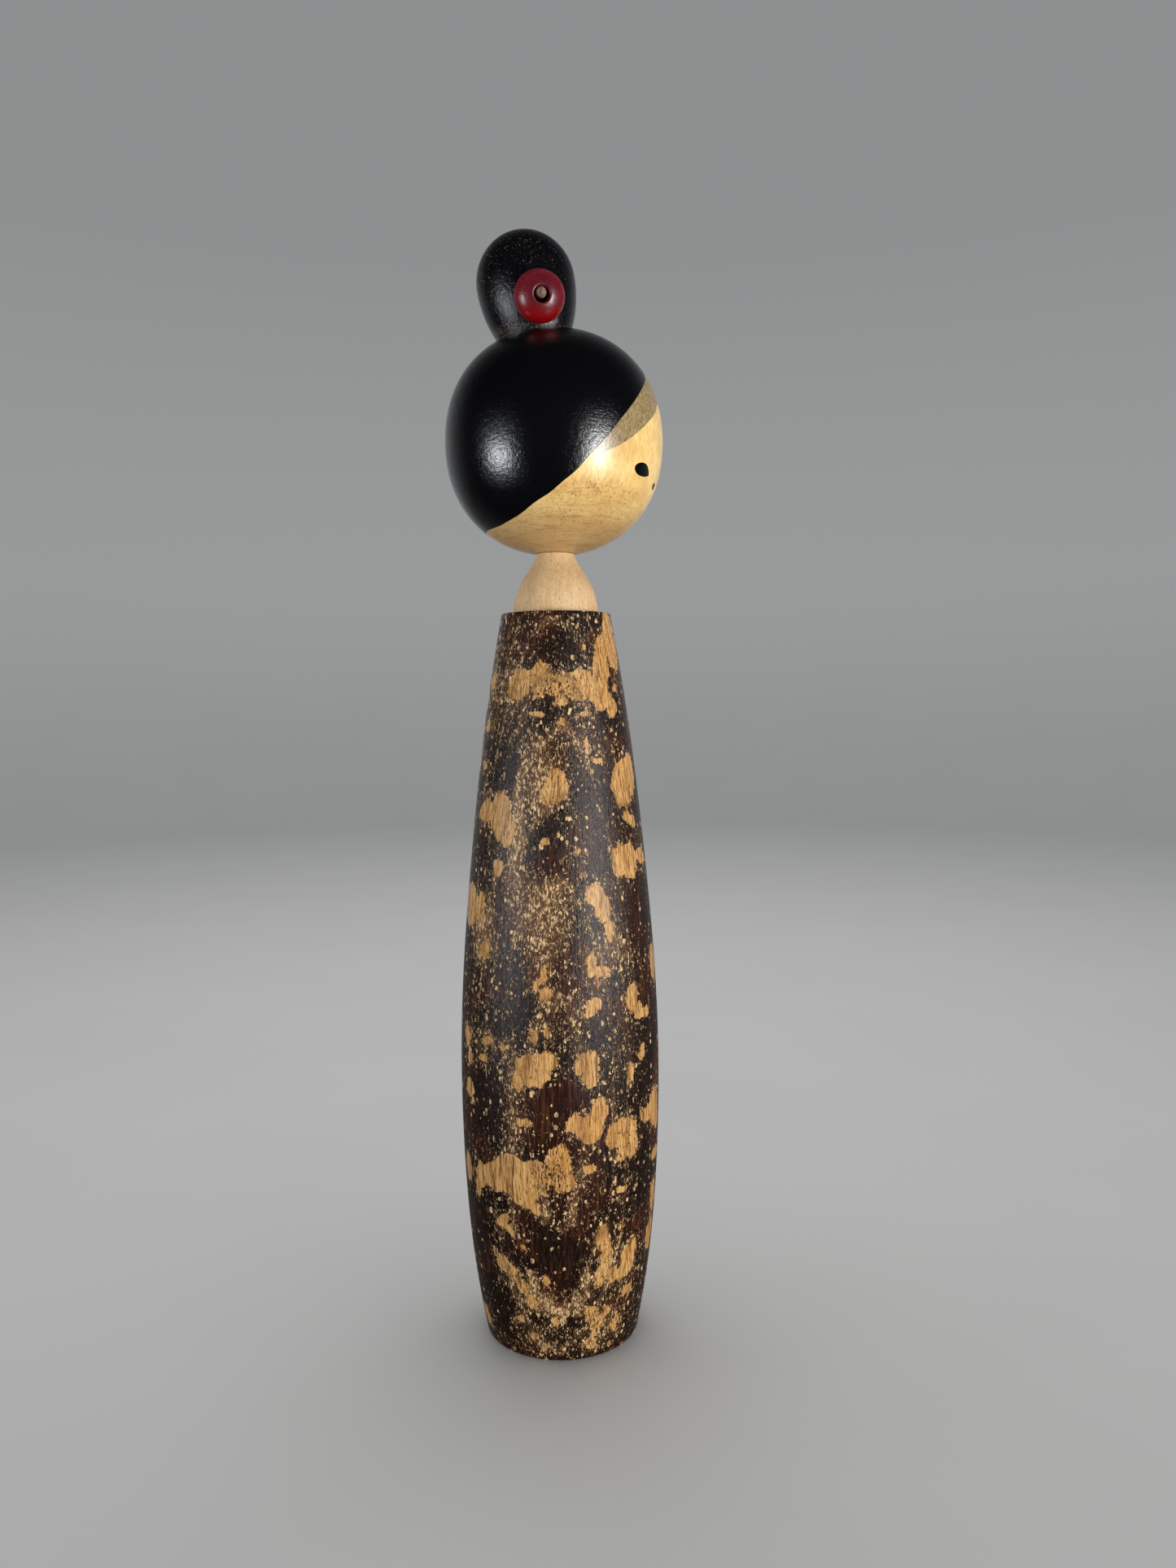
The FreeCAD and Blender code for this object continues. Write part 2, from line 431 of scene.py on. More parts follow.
def colour(red, green, blue):
    return (red, green, blue, 1.0)


def darkened(shade, share):
    """A colour with only a share of its brightness."""
    return colour(*(share * channel for channel in shade[:3]))


# ---------------------------------------------------------------- the body's pattern

# Bare patches where the stain was kept off: turn, height, half width in degrees, half height, slope
BARE_PATCHES = [
    # the band below the shoulder and the tall patch beside it
    (-31, 172, 12, 3.6, 0), (-12, 173.5, 9, 4.6, 0), (3, 171.5, 10, 2.6, 0), (20, 172, 13, 3.8, 0.05),
    (39, 171.5, 11, 5.8, 0), (46, 178, 9, 6.2, 0.3), (66, 183.5, 14, 8, 0), (51, 166.5, 7, 2.3, 0),
    (60, 171, 4, 0.9, 0), (5, 168, 5, 1.4, 0),
    # small spots below the band
    (6, 163, 2.6, 0.9, 0.3), (25, 165, 2.6, 0.9, 0.1), (24, 158, 1.3, 1.5, 0), (30, 153, 5, 0.8, 0),
    (-15, 165, 5, 0.6, -0.1), (50, 158, 2, 0.6, 0), (47, 161, 1.5, 0.6, 0), (28, 181, 1.6, 0.7, 0),
    (-68, 173, 6, 2.2, 0), (-67, 162, 4, 1.5, 0), (-66, 152, 4, 1.2, -0.3),
    # the upper flanks
    (56, 147.2, 14, 5.8, 0.1), (66, 149.6, 9, 4.8, 0), (50, 144.5, 6, 3, 0), (56, 138.3, 6, 1.2, -0.2),
    (63, 137, 3, 1.9, 0), (43, 128, 5.5, 4.2, 0), (54, 127.4, 8.5, 4.6, 0), (70, 128, 9, 1.9, -0.2),
    (-55, 140.4, 11, 2.7, 0.1), (-41, 140, 9.5, 5.3, 0), (-35, 136.5, 8, 4.6, 0), (0, 147, 8, 4.2, 0),
    (-5, 144.8, 6, 2.4, 0), (-39, 126.6, 5, 2.4, 0.2), (-7, 133.5, 3, 1, 0), (14, 131, 1.6, 0.8, 0),
    # the middle
    (-70, 116, 11, 5.5, 0), (-54, 116, 4.5, 3.6, 0), (-48, 106, 4.5, 2.4, 0.2), (24, 120.3, 6.5, 2.8, 0),
    (29, 116.6, 6, 3.4, 0), (32.5, 111.8, 2.8, 2.6, 0), (33, 109, 2, 0.8, 0), (20, 103, 3, 2.8, 0),
    (26, 101.2, 5, 1.5, 0), (23, 98.6, 1.7, 1.8, 0), (21, 93, 4.6, 2, 0.1), (18, 91, 2.5, 0.8, 0),
    (47, 93.4, 4.6, 3.6, 0), (52, 89.6, 4, 2.2, 0), (58, 88.5, 5, 1.4, 0), (76, 100, 6, 4.5, 0),
    (-7, 101.5, 2, 2.1, 0), (-12, 98.3, 2.4, 1.8, 0), (-6, 96.4, 3.2, 1.4, 0), (-13, 86, 2.6, 1.8, 0),
    (-6, 87, 1.6, 0.9, 0), (-43, 83, 4, 1.3, 0), (-32, 82, 2, 1.1, 0), (-46, 78.5, 3.6, 1.1, 0),
    (-14, 77.2, 9.5, 4.4, 0), (-6, 79.2, 6, 2.7, 0), (-22, 75, 3, 3, 0), (17, 79, 6, 2.9, 0),
    (18, 75.3, 5, 2.4, -0.2), (12, 78, 3, 2, 0), (54, 79, 3.6, 1.8, 0), (44, 75, 2, 2.6, 0),
    (-64, 82.5, 4, 2.6, 0), (-60, 77, 3, 1.4, 0), (-61, 69, 5.5, 2.3, 0), (-57, 66, 3, 1, 0),
    # the lower half
    (10, 63.8, 6, 2.5, 0.1), (18, 62.6, 7, 4.3, 0.1), (23, 66.5, 5, 3, 0.2), (38, 59.6, 11, 3.9, 0.1),
    (44, 56, 6, 3.5, 0), (33, 61, 5, 1.8, 0), (37, 54.4, 3.5, 1.8, 0), (59, 62, 6.5, 2, 0),
    (70, 62.6, 8, 5, 0), (74, 58.6, 4, 3, 0), (74, 49.5, 8, 1.5, 0), (73, 38.5, 6, 4.2, 0),
    (71, 28, 6, 4.6, 0), (-20, 64, 4, 1, 0), (-38, 48.6, 11, 4.2, 0.15), (-27, 50, 12, 5.4, 0),
    (-12, 50.4, 12, 4, 0), (0, 53.4, 7, 5.4, 0), (3, 49, 6, 2.6, 0), (-20, 45, 8, 2.8, 0),
    (-14, 42.3, 3.2, 1.8, -0.4), (-52, 47, 4.6, 3.6, 0.3), (-55, 44, 3, 2.4, 0), (-68, 47, 6, 4, 0),
    (18, 52, 4, 0.9, 0), (38, 45, 3, 1.1, 0), (-35, 37, 4.5, 2, 0.3), (-29, 35.6, 1.6, 1.9, 0),
    (-22, 31.5, 2, 0.7, 0), (-42, 28, 2.5, 1, 0), (-8, 23, 1.6, 1.2, 0), (38, 35, 1.5, 1, 0),
    (26, 33, 4.6, 3.8, 0), (29, 28, 4, 4, 0), (26, 23, 5, 2.8, 0.3), (33, 22.6, 4, 2.2, 0),
    (46, 25, 6.5, 4.2, 0), (50, 28.4, 3, 2, 0), (41, 22, 4, 1.8, 0), (-37, 25.6, 4.4, 1.8, 0),
    (-30, 23.4, 5, 2.2, -0.5), (-24, 20.6, 4.4, 2.2, -0.4), (-18, 16.5, 4, 2, -0.3), (20, 12.6, 5, 2.4, 0),
    (25, 9.6, 4.4, 2.4, 0), (22, 4.6, 4.2, 2, 0), (30, 13, 3, 1.4, 0), (39, 8, 3, 2.2, 0),
    (47, 16.6, 4.5, 1.2, 0), (-67, 6.6, 6, 2.4, 0), (-27, 11, 2.5, 0.9, 0), (-19, 6.5, 2, 0.9, 0),
    (-12, 4, 2, 1.1, 0), (-4, 11.6, 2.6, 1.1, 0),
]

# Where fine specks are dense: turn, height, half width in degrees, half height, share of bare wood
SPECKLED_ZONES = [
    # The tall narrow zones at turns -25 and -26 also paint a paler column where the left light is mirrored
    # down the body: a painted reflection laid over the stain's own specks.
    (-45, 172, 22, 22, 0.57), (-10, 188, 24, 4, 0.53), (22, 187, 20, 4, 0.41), (-25, 136, 8, 32, 0.69),
    (-14, 150, 16, 14, 0.67), (4, 158, 22, 8, 0.53), (-8, 115, 20, 14, 0.73), (-50, 110, 14, 11, 0.69),
    (-56, 142, 12, 10, 0.47), (2, 92, 20, 12, 0.47), (40, 106, 16, 8, 0.57), (36, 78, 13, 14, 0.41),
    (-26, 66, 6, 26, 0.57), (-46, 88, 18, 14, 0.43), (14, 46, 9, 9, 0.43), (-6, 37, 5, 6, 0.45),
    (6, 38, 5, 6, 0.45), (40, 44, 12, 12, 0.37), (0, 6, 60, 7, 0.46), (-30, 18, 14, 12, 0.5),
    (35, 14, 22, 14, 0.45), (-58, 128, 12, 6, 0.45), (0, 15, 20, 2.4, 0.74), (34, 24, 16, 12, 0.43),
    (-40, 34, 12, 7, 0.39), (16, 112, 12, 34, 0.38), (24, 80, 10, 20, 0.35), (-68, 175, 12, 14, 0.55),
    # The small zones round turn 0 between heights 14 and 41 trace two arches near the foot: they paint as
    # dense pale specks the sheen that the growth rings' relief catches there (painted sheen).
    (0, 160, 70, 26, 0.38), (0, 14.5, 9, 2.2, 0.86), (-10, 17, 4.5, 3, 0.86), (-16, 22, 4, 4.5, 0.8),
    (11, 17, 4.5, 3, 0.86), (16, 22, 3.5, 5, 0.8), (-8, 41, 3.5, 5, 0.66), (8, 40, 3.5, 5, 0.66),
    (0, 36, 5, 2, 0.6),
]
# The share everywhere else
PLAIN_STAIN = 0.28

# Where the stain is hardly broken at all, in the same form: here the share is of the specks that stay
SOLID_ZONES = [
    (10, 179, 15, 4, 0.8), (58, 162, 24, 5, 0.35), (78, 150, 12, 20, 0.3), (-62, 130, 10, 5, 0.4),
    (22, 137, 10, 9, 0.8), (64, 114, 16, 9, 0.3), (40, 148, 6, 6, 0.4), (68, 84, 14, 12, 0.35),
    (-52, 66, 16, 8, 0.35), (0, 70, 14, 5, 0.35), (-62, 30, 16, 10, 0.35), (-4, 30, 16, 7, 0.25),
    (-44, 12, 10, 7, 0.35), (58, 46, 10, 8, 0.4), (-6, 58, 10, 3, 0.4), (-8, 164, 9, 3, 0.5),
    (-8, 131, 10, 6, 0.5), (-36, 152, 8, 6, 0.6),
]

# Where the bare wood keeps dark flecks of stain, in the same form
FLECKED_ZONES = [
    (-2, 171.5, 32, 5, 0.42), (50, 180, 12, 9, 0.22), (-8, 145, 14, 8, 0.4), (-16, 77, 12, 6, 0.25),
    (-4, 50, 14, 9, 0.45), (40, 58, 14, 7, 0.3), (28, 26, 10, 14, 0.3), (-26, 22, 14, 8, 0.35),
    (24, 9, 12, 8, 0.4), (-50, 112, 10, 9, 0.4), (25, 117, 7, 5, 0.2),
]
# The share everywhere else
PLAIN_WOOD = 0.06

# The far side's patches and zones are drawn at random in the same range of sizes, with their middles
# between these turns and up to this height
FAR_SIDE = (88, 276)
FAR_SIDE_FOR_ZONES = (92, 268)
MARKED_HEIGHT = 190
FAR_SIDE_SEED = 11
FAR_SIDE_PATCHES = 95
FAR_SIDE_ZONES = 22
FAR_SIDE_SOLID_ZONES = 14

# The log: the pith runs up outside the piece, on the far side, so the rings make arches on the near side
PITH_DISTANCE = 60.0
RING_SPACING = 2.15
RING_WANDER = 2.2
RING_SHARPNESS = 9.0


def far_side_marks():
    """Random patches, speckled zones and solid zones for the side that the lists above don't cover."""
    random = np.random.default_rng(FAR_SIDE_SEED)

    def some_zones(count, least, most):
        zones = []
        for _ in range(count):
            place = (random.uniform(*FAR_SIDE_FOR_ZONES), random.uniform(0, MARKED_HEIGHT))
            spread = (random.uniform(8, 22), random.uniform(5, 22))
            zones.append((*place, *spread, random.uniform(least, most)))
        return zones

    patches = []
    for _ in range(FAR_SIDE_PATCHES):
        size = random.lognormal(0.55, 0.6)
        turn = random.uniform(*FAR_SIDE)
        height = random.uniform(2, MARKED_HEIGHT - 2)
        patches.append((turn, height, size * random.uniform(1.6, 3.4), size, random.uniform(-0.3, 0.3)))
    return patches, some_zones(FAR_SIDE_ZONES, 0.36, 0.6), some_zones(FAR_SIDE_SOLID_ZONES, 0.2, 0.5)


def body_values(points):
    """How near each point is to a bare patch, and how speckled and how flecked it is."""
    turn = turn_of(points)
    radius = np.maximum(np.hypot(points[:, 0], points[:, 1]), 1.0)
    height = points[:, 2]
    patches, speckled, solid = far_side_marks()
    specks = zone_value(turn, height, radius, SPECKLED_ZONES + speckled, PLAIN_STAIN)
    hidden = zone_value(turn, height, radius, [(*z[:4], 1 - z[4]) for z in SOLID_ZONES + solid], 0.0)
    return {
        "patch": dab_distance(turn, height, radius, BARE_PATCHES + patches),
        "speckle": specks * (1 - hidden),
        "fleck": zone_value(turn, height, radius, FLECKED_ZONES, PLAIN_WOOD),
    }


# ---------------------------------------------------------------- materials


def growth_rings(s):
    """0 in the pale wood and 1 in the dark lines of the growth rings, which arch up the near side."""
    pith = [-PITH_DISTANCE * f(math.radians(SHOWN_SIDE)) for f in (math.cos, math.sin)]
    flat = s.place((1.0, 1.0, 0.0))
    from_pith = s.distance(flat, (*pith, 0.0))
    wander = s.times(s.noise(s.place((1.0, 1.0, 0.3)), 0.12, 2.0), RING_WANDER)
    phase = s.times(s.plus(from_pith, wander), 2 * math.pi / RING_SPACING)
    return s.math("POWER", s.math("MULTIPLY_ADD", s.math("SINE", phase), 0.5, 0.5), RING_SHARPNESS)


def tan_wood(s, fibres, streaks, blotches, ring):
    """The bare wood: warm tan between long fine fibres, darker along the growth rings."""
    tan = s.mix(s.ramp(streaks, 0.35, 0.68), colour(0.58, 0.33, 0.12), colour(0.40, 0.195, 0.053))
    tan = s.mix(s.ramp(blotches, 0.4, 0.65, 0.0, 0.4), tan, colour(0.47, 0.21, 0.045))
    tan = s.mix(s.times(ring, 0.65), tan, colour(0.20, 0.085, 0.024))
    dashes = s.noise(s.place((1.0, 1.0, 0.33), (2.0, 5.0, 1.0)), 2.7, 3.0, 0.65)
    tan = s.mix(s.ramp(fibres, 0.47, 0.36, 0.0, 0.45), tan, colour(0.72, 0.46, 0.20))
    tan = s.mix(s.ramp(fibres, 0.52, 0.64, 0.0, 0.8), tan, colour(0.15, 0.06, 0.018))
    tan = s.mix(s.ramp(dashes, 0.55, 0.68, 0.0, 0.6), tan, colour(0.11, 0.045, 0.015))
    splits = s.noise(s.place((1.0, 1.0, 0.035), (7.0, 3.0, 2.0)), 1.2, 2.0, 0.5)
    return s.mix(s.ramp(splits, 0.63, 0.68, 0.0, 0.8), tan, colour(0.09, 0.036, 0.012))


def stained_wood():
    """Tan wood under a near-black stain that leaves patches, specks and streaks bare."""
    s = Shader("stained_wood")
    here = s.place()
    fibres = s.noise(s.place((1.0, 1.0, 0.09)), 3.0, 3.0, 0.65)
    streaks = s.noise(s.place((1.0, 1.0, 0.07)), 1.2, 3.0, 0.6)
    blotches = s.noise(here, 0.06, 2.0)
    ring = growth_rings(s)

    wobble = s.math("MULTIPLY_ADD", s.noise(here, 0.42, 5.0, 0.74), 4.8, -2.4)
    patch = s.plus(s.value("patch"), wobble)
    bare = s.ramp(patch, 0.2, -0.15)
    density = s.plus(s.value("speckle"), s.ramp(patch, 4.0, 0.0, 0.0, 0.14))
    # Specks crowd along the growth rings, which paints the sheen on the rings' relief as paler arched lines
    # in the stain.
    density = s.math("MULTIPLY_ADD", ring, 0.16, density)

    clumps = s.noise(s.place((1.0, 1.0, 0.75)), 0.85, 2.0, 0.6)
    grains = s.noise(s.place((1.0, 1.0, 0.36), (9.0, 2.0, 4.0)), 3.4, 2.0, 0.7)
    rough = s.math("MULTIPLY_ADD", clumps, 0.36, s.times(grains, 0.64))
    edge = s.math("MULTIPLY_ADD", density, -0.22, 0.667)
    rubbed = s.ramp(s.minus(rough, edge), -0.005, 0.035)
    speck_place = s.place((1.0, 1.0, 0.72))
    specks = s.dots(speck_place, 0.9, s.math("MULTIPLY_ADD", density, 0.55, 0.18), 0.05, 0.46, 0.35)
    spot_place = s.place((1.0, 1.0, 0.8), (3.0, 8.0, 1.0))
    spots = s.dots(spot_place, 0.48, s.times(density, 0.5), 0.04, 0.4, 0.4)
    speckled = s.most(specks, spots, rubbed)

    fleck_noise = s.noise(s.place((1.0, 1.0, 0.35), (5.0, 1.0, 8.0)), 2.4, 2.0, 0.65)
    fleck_edge = s.ramp(s.value("fleck"), 0.0, 0.6, 0.68, 0.47)
    flecks = s.ramp(s.minus(fleck_noise, fleck_edge), 0.0, 0.05)
    bare = s.times(bare, s.minus(1.0, flecks))

    tan = tan_wood(s, fibres, streaks, blotches, ring)
    tone = s.noise(s.place((1.0, 1.0, 0.5), (4.0, 6.0, 2.0)), 1.6, 2.0, 0.6)
    speck = s.mix(s.ramp(tone, 0.38, 0.64), colour(0.16, 0.08, 0.032), colour(0.70, 0.47, 0.235))
    stain = s.mix(s.ramp(fibres, 0.42, 0.66), colour(0.006, 0.003, 0.0025), colour(0.024, 0.0115, 0.0065))
    stain = s.mix(s.ramp(blotches, 0.46, 0.58, 0.0, 0.7), stain, colour(0.022, 0.005, 0.0028))
    warm = s.times(s.ramp(streaks, 0.5, 0.66), s.ramp(blotches, 0.44, 0.56))
    stain = s.mix(warm, stain, colour(0.065, 0.022, 0.008))
    stain = s.mix(s.ramp(density, 0.42, 0.85, 0.0, 0.6), stain, colour(0.13, 0.064, 0.027))
    surface = s.mix(bare, s.mix(speckled, stain, speck), tan)

    roughness = s.math("MULTIPLY_ADD", fibres, 0.2, s.math("MULTIPLY_ADD", bare, -0.1, 0.18))
    relief = s.math("MULTIPLY_ADD", streaks, 1.2, s.math("MULTIPLY_ADD", grains, 1.2, fibres))
    relief = s.math("MULTIPLY_ADD", s.most(bare, speckled), -0.3, relief)
    s.bump(relief, 0.09)
    return s.finish(surface, roughness, specular=0.23)


def bare_wood(name, light, dark, roughness=0.6):
    """Plain turned wood with an upright grain and fine pores."""
    s = Shader(name)
    streaks = s.noise(s.place((1.0, 1.0, 0.08)), 1.3, 3.0, 0.6)
    clouds = s.noise(s.place((1.0, 1.0, 0.6)), 0.16, 2.0)
    pores = s.dots(s.place((1.0, 1.0, 0.45)), 2.8, 0.6, 0.02, 0.36, 0.5)
    mottle = s.noise(s.place((1.0, 1.0, 0.5), (3.0, 1.0, 2.0)), 2.2, 3.0, 0.7)
    tone = s.math("MULTIPLY_ADD", streaks, 0.6, s.times(clouds, 0.4))
    wood = s.mix(s.ramp(tone, 0.35, 0.68), light, dark)
    wood = s.mix(s.ramp(mottle, 0.48, 0.7, 0.0, 0.5), wood, darkened(dark, 0.6))
    wood = s.mix(s.times(pores, 0.5), wood, darkened(dark, 0.4))
    s.bump(s.minus(streaks, s.times(pores, 0.6)), 0.05)
    return s.finish(wood, s.math("MULTIPLY_ADD", streaks, 0.15, roughness - 0.08))


def skin_wood():
    """The varnished face, with the fringe's grey wash and the handling marks below the cheek."""
    s = Shader("skin_wood")
    clouds = s.noise(s.place((1.0, 1.0, 1.6)), 0.11, 3.0)
    grain = s.noise(s.place((1.0, 1.0, 0.25)), 1.1, 3.0, 0.6)
    skin = s.mix(s.ramp(clouds, 0.35, 0.65), colour(0.86, 0.61, 0.24), colour(0.75, 0.48, 0.165))
    skin = s.mix(s.ramp(grain, 0.42, 0.7, 0.0, 0.5), skin, colour(0.58, 0.34, 0.11))
    mottle = s.noise(s.place((1.0, 1.0, 0.5), (6.0, 2.0, 3.0)), 1.7, 4.0, 0.7)
    skin = s.mix(s.ramp(mottle, 0.5, 0.68, 0.0, 0.45), skin, colour(0.50, 0.28, 0.09))
    # The face darkens towards its underside: partly painted shade where it turns down away from the light,
    # partly a darker varnish.
    skin = s.mix(s.ramp(s.value("level"), -22.0, -60.0, 0.0, 0.8), skin, colour(0.42, 0.255, 0.10))

    smudge = s.value("smudge")
    below = s.ramp(s.value("level"), -24.0, -50.0)
    lines = s.noise(s.place((0.07, 0.07, 1.0), (1.0, 3.0, 0.0)), 2.4, 2.0, 0.6)
    smears = s.noise(s.place((1.0, 1.0, 0.8)), 0.45, 4.0, 0.65)
    stains = s.times(smudge, s.ramp(smears, 0.42, 0.66))
    skin = s.mix(s.times(stains, 0.55), skin, colour(0.40, 0.185, 0.055))
    ticks = s.times(smudge, s.ramp(mottle, 0.52, 0.64))
    skin = s.mix(s.times(ticks, 0.6), skin, colour(0.26, 0.11, 0.03))
    # The brown mottle towards the underside carries on that darkening, partly as painted shade.
    browner = s.times(below, s.ramp(mottle, 0.5, 0.66, 0.0, 0.5))
    skin = s.mix(browner, skin, colour(0.33, 0.15, 0.045))
    lined = s.times(below, s.ramp(lines, 0.45, 0.7, 0.0, 0.5))
    skin = s.mix(lined, skin, colour(0.34, 0.17, 0.05))
    scratches = s.times(smudge, s.ramp(lines, 0.55, 0.7))
    skin = s.mix(s.times(scratches, 0.35), skin, colour(0.20, 0.09, 0.03))
    dots = s.dots(s.place(), 1.6, s.times(smudge, 0.35), 0.05, 0.36)
    skin = s.mix(s.times(dots, 0.85), skin, colour(0.06, 0.025, 0.01))

    wobble = s.math("MULTIPLY_ADD", s.noise(s.place(), 1.2, 2.0), 0.3, -0.15)
    fringe = s.ramp(s.plus(s.value("fringe"), wobble), -0.05, 0.1)
    dashes = s.noise(s.place((1.0, 1.0, 0.45)), 2.6, 3.0, 0.7)
    wash = s.mix(s.ramp(grain, 0.35, 0.65), colour(0.32, 0.235, 0.115), colour(0.25, 0.175, 0.085))
    wash = s.mix(s.ramp(dashes, 0.46, 0.62, 0.0, 0.9), wash, colour(0.085, 0.06, 0.03))
    skin = s.mix(s.times(fringe, 0.92), skin, wash)

    s.bump(s.math("MULTIPLY_ADD", mottle, 0.8, grain), 0.035)
    return s.finish(skin, s.math("MULTIPLY_ADD", grain, 0.12, 0.2), specular=0.6)


def black_lacquer():
    """Deep black, brushed on thick: glossy, with a fine ripple and a few specks of dust."""
    s = Shader("black_lacquer")
    ripple = s.noise(s.place((1.0, 1.0, 0.8)), 1.0, 4.0, 0.72)
    brushed = s.noise(s.place((0.4, 0.4, 2.2)), 1.1, 2.0, 0.6)
    dust = s.dots(s.place(), 0.22, 0.12, 0.01, 0.07, 0.02)
    surface = s.mix(dust, colour(0.0022, 0.0022, 0.0028), colour(0.16, 0.16, 0.15))
    s.bump(s.math("MULTIPLY_ADD", brushed, 0.4, ripple), 0.1)
    return s.finish(surface, s.math("MULTIPLY_ADD", ripple, 0.14, 0.09), specular=0.65)


def worn_black():
    """The bun's satin black: puckered paint, pale specks of wear on its crown and a scuffed foot."""
    s = Shader("worn_black")
    low, high, middle = box_of("bun")
    near = math.radians(SHOWN_SIDE + WEAR_TURN)
    worn = middle + np.array([math.cos(near), math.sin(near), 0]) * WEAR_REACH
    away = s.distance(s.place(), (worn[0], worn[1], high[2] - WEAR_DEPTH))

    grain = s.noise(s.place((1.0, 1.0, 0.6)), 1.5, 3.0, 0.75)
    clouds = s.noise(s.place(), 0.25, 2.0)
    surface = s.mix(s.ramp(grain, 0.4, 0.7), colour(0.002, 0.002, 0.003), colour(0.006, 0.0055, 0.0065))
    patchy = s.times(s.ramp(away, 16.0, 6.0, 0.05, 0.65), s.ramp(clouds, 0.36, 0.56, 0.35, 1.0))
    specks = s.dots(s.place((1.0, 1.0, 0.9)), 2.3, patchy, 0.08, 0.36)
    fade_and_reflection_mask = s.ramp(s.noise(s.place((1.0, 1.0, 0.6), (2.0, 4.0, 1.0)), 1.1, 2.0), 0.38, 0.62, 0.25, 0.9)
    surface = s.mix(s.times(specks, fade_and_reflection_mask), surface, colour(0.26, 0.20, 0.12))
    foot = s.plus(s.height(), s.math("MULTIPLY_ADD", s.noise(s.place(), 0.9, 3.0, 0.65), 5.0, -2.5))
    scuffs = s.ramp(foot, float(low[2]) + SCUFF_TOP, float(low[2]) + SCUFF_FULL)
    scuffs = s.times(scuffs, s.ramp(s.noise(s.place(), 1.7, 3.0, 0.7), 0.45, 0.6, 0.1, 0.9))
    surface = s.mix(scuffs, surface, colour(0.10, 0.08, 0.062))
    s.bump(s.math("MULTIPLY_ADD", specks, -0.5, grain), 0.15)
    return s.finish(surface, s.math("MULTIPLY_ADD", grain, 0.2, 0.09), specular=0.36)


def red_lacquer():
    """The bead's glossy red: bright below, crimson above as a painted reflection, grimy round its hole."""
    s = Shader("red_lacquer")
    low, high, middle = box_of("ornament_bead")
    away = s.distance(s.place(), middle)
    grain = s.noise(s.place((0.5, 1.0, 1.0)), 1.6, 3.0, 0.6)
    clouds = s.noise(s.place(), 0.35, 2.0)
    height = s.plus(s.height(), s.math("MULTIPLY_ADD", clouds, 3.0, -1.5))
    edge = float(low[2] + (high[2] - low[2]) * BEAD_REFLECTION_LINE)
    bright = s.mix(s.ramp(grain, 0.38, 0.7), colour(0.23, 0.001, 0.003), colour(0.17, 0.001, 0.0025))
    crimson = s.mix(s.ramp(grain, 0.38, 0.7), colour(0.185, 0.0085, 0.018), colour(0.12, 0.005, 0.011))
    crimson = s.mix(s.ramp(clouds, 0.45, 0.65, 0.0, 0.4), crimson, colour(0.075, 0.003, 0.008))
    # Bright below and crimson above is a painted reflection: the bead mirrors the dark hair below this line
    # and its pale surroundings above it.
    fade_and_reflection_mask = s.ramp(height, edge - BEAD_REFLECTION_SOFTNESS, edge + BEAD_REFLECTION_SOFTNESS)
    surface = s.mix(fade_and_reflection_mask, bright, crimson)
    grime = s.ramp(away, BEAD_GRIME, BEAD_GRIME - 2.5, 0.0, 0.6)
    surface = s.mix(grime, surface, colour(0.035, 0.002, 0.004))
    s.bump(grain, 0.05)
    return s.finish(surface, s.math("MULTIPLY_ADD", clouds, 0.2, 0.22))


def end_grain():
    """The peg's sawn end: rough brown wood with a few dark rings round its middle."""
    s = Shader("peg_wood")
    _, _, middle = box_of("ornament_peg")
    out = s.distance(s.place((1.0, 0.0, 1.0)), (middle[0], 0.0, middle[2]))
    rough = s.noise(s.place(), 1.6, 3.0, 0.7)
    phase = s.math("MULTIPLY_ADD", rough, 5.0, s.times(out, 6.5))
    rings = s.ramp(s.math("SINE", phase), -0.2, 0.9)
    wood = s.mix(s.ramp(rough, 0.35, 0.65), colour(0.26, 0.145, 0.095), colour(0.16, 0.08, 0.05))
    wood = s.mix(s.times(rings, 0.7), wood, colour(0.05, 0.022, 0.014))
    s.bump(s.minus(rough, rings), 0.08)
    return s.finish(wood, s.math("MULTIPLY_ADD", rough, 0.2, 0.5))


def mouth_red():
    """The brushed dark red of the mouth."""
    s = Shader("mouth_red")
    strokes = s.noise(s.place((1.0, 1.0, 0.5)), 2.5, 2.0)
    surface = s.mix(s.ramp(strokes, 0.35, 0.65), colour(0.11, 0.014, 0.010), colour(0.06, 0.010, 0.008))
    s.bump(strokes, 0.02)
    return s.finish(surface, s.math("MULTIPLY_ADD", strokes, 0.1, 0.3))


def pale_stage():
    """The stage's matt white, very slightly uneven, and paler up its wall, where less light falls."""
    s = Shader("pale_stage")
    clouds = s.noise(s.place(), 0.012, 2.0)
    floor = s.mix(clouds, colour(0.76, 0.755, 0.74), colour(0.80, 0.795, 0.78))
    surface = s.mix(s.ramp(s.height(), 0.0, SWEEP_RADIUS / MM), floor, colour(0.97, 0.97, 0.96))
    return s.finish(surface, 0.6)


# ---------------------------------------------------------------- pieces


def make_body(material):
    """The turned body with the mortise in its top."""
    section = half_section(node_points("body"))
    outline = outer_outline(section)
    top = outline[-1, 1]
    radius, floor = bore_of(section, top)
    outline = respaced(outline, BODY_STEP)
    bore = [(radius, top), (radius, floor), (0, floor)]
    outline = np.vstack((outline[outline[:, 0] + (outline[:, 1] < top) > radius], bore))
    outline = np.vstack(([(0, 0)], outline))
    points, faces = turned(outline, BODY_COLUMNS)
    values = body_values(points)
    piece = add_piece("turned_body", points, faces, "stand", material, values)
    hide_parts("body")


